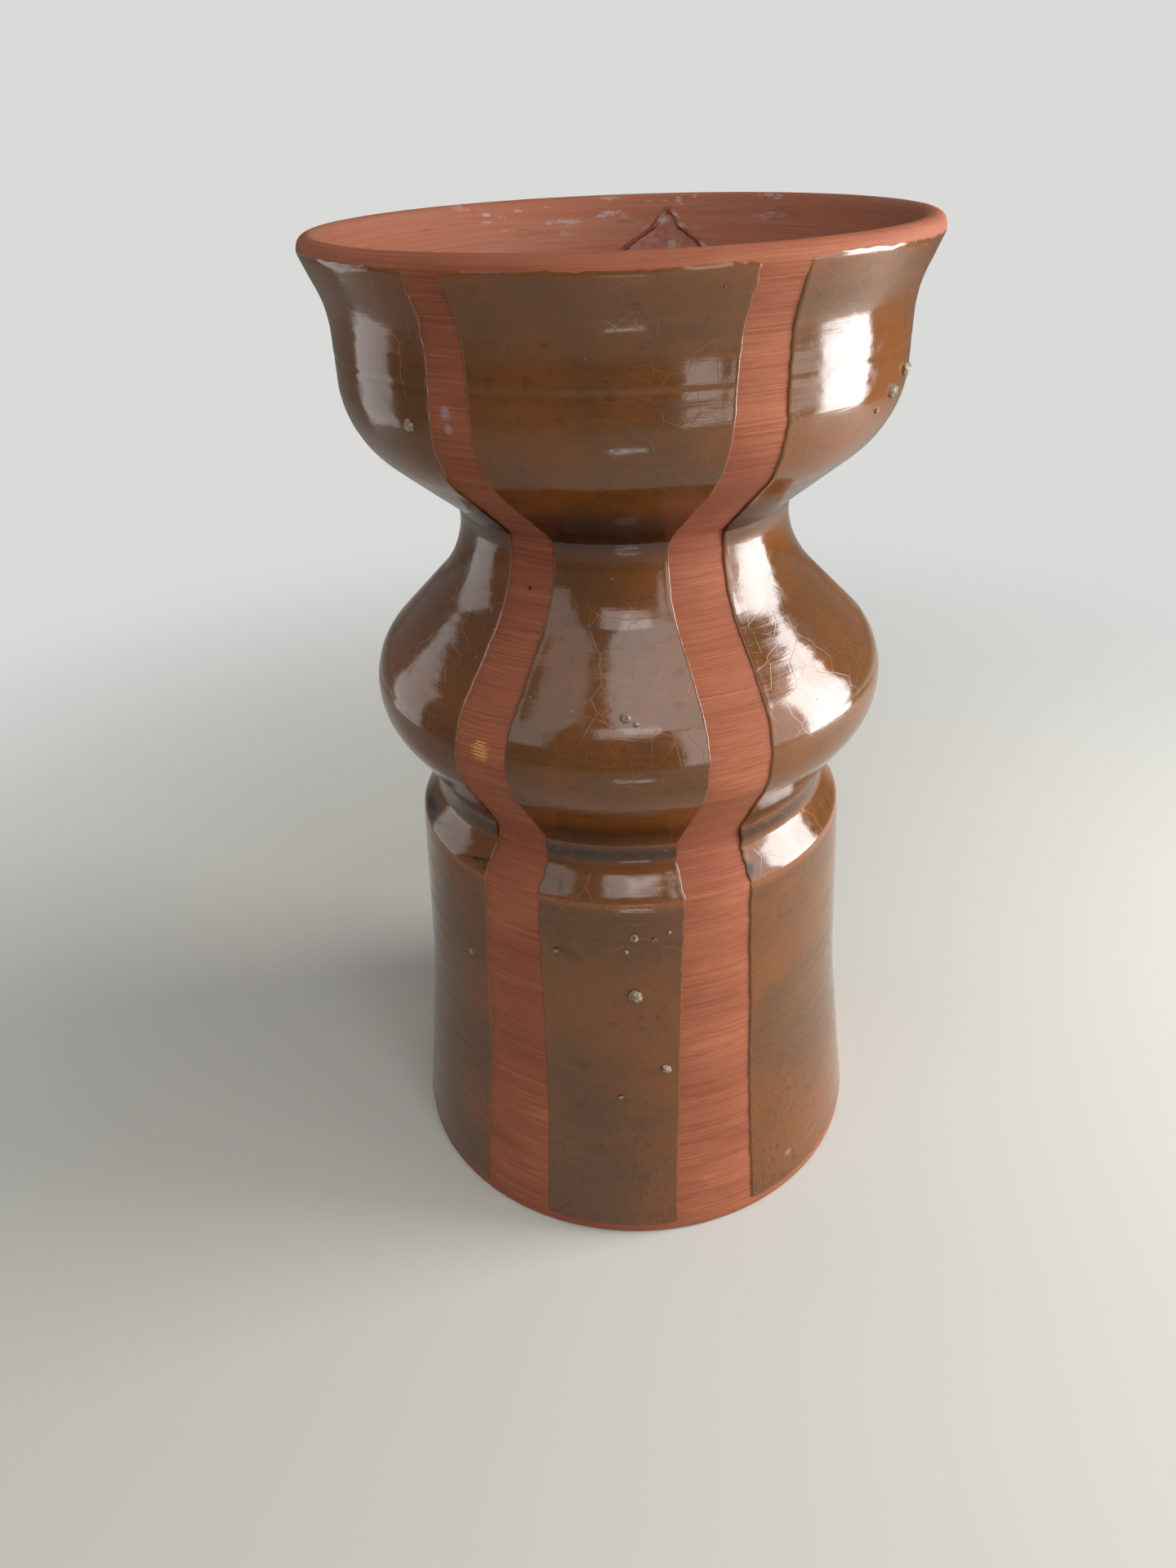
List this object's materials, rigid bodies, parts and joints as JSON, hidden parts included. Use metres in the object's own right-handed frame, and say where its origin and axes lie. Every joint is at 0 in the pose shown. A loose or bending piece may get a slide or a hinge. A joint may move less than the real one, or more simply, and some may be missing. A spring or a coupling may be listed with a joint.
{
  "type": "goblet drum shell",
  "caption": "Glazed clay goblet drum shell with flared bowl, narrow neck, round bulb and tapered barrel foot, open at both ends, bare clay stripes.",
  "frame": {"origin": "centre of the foot's rest ring, on the plane that the shell stands on", "axes": "+Z along the pot's axis, from the foot up to the mouth; -Y is the front, where the 53 degree glaze panel that lies between the two 80 degree ones faces"},
  "size_m": [0.1218, 0.1218, 0.22],
  "materials": {
    "terracotta": "matt fired clay with fine turning lines",
    "fired_slip": "matt fired slip",
    "glaze": "gloss clear olive brown glaze with fine crazing",
    "grain": "rough fired mineral grain"
  },
  "bodies": {
    "root": {"bowl": "terracotta", "neck_and_bulb": "terracotta", "foot_barrel": "terracotta", "neck_slip_joint": "fired_slip", "waist_slip_joint": "fired_slip", "glaze_drip": "glaze", "mineral_grains": "grain", "glaze_panel_front": "glaze", "glaze_panel_front_right": "glaze", "glaze_panel_back_right": "glaze", "glaze_panel_back": "glaze", "glaze_panel_back_left": "glaze", "glaze_panel_front_left": "glaze"}
  },
  "joints": []
}
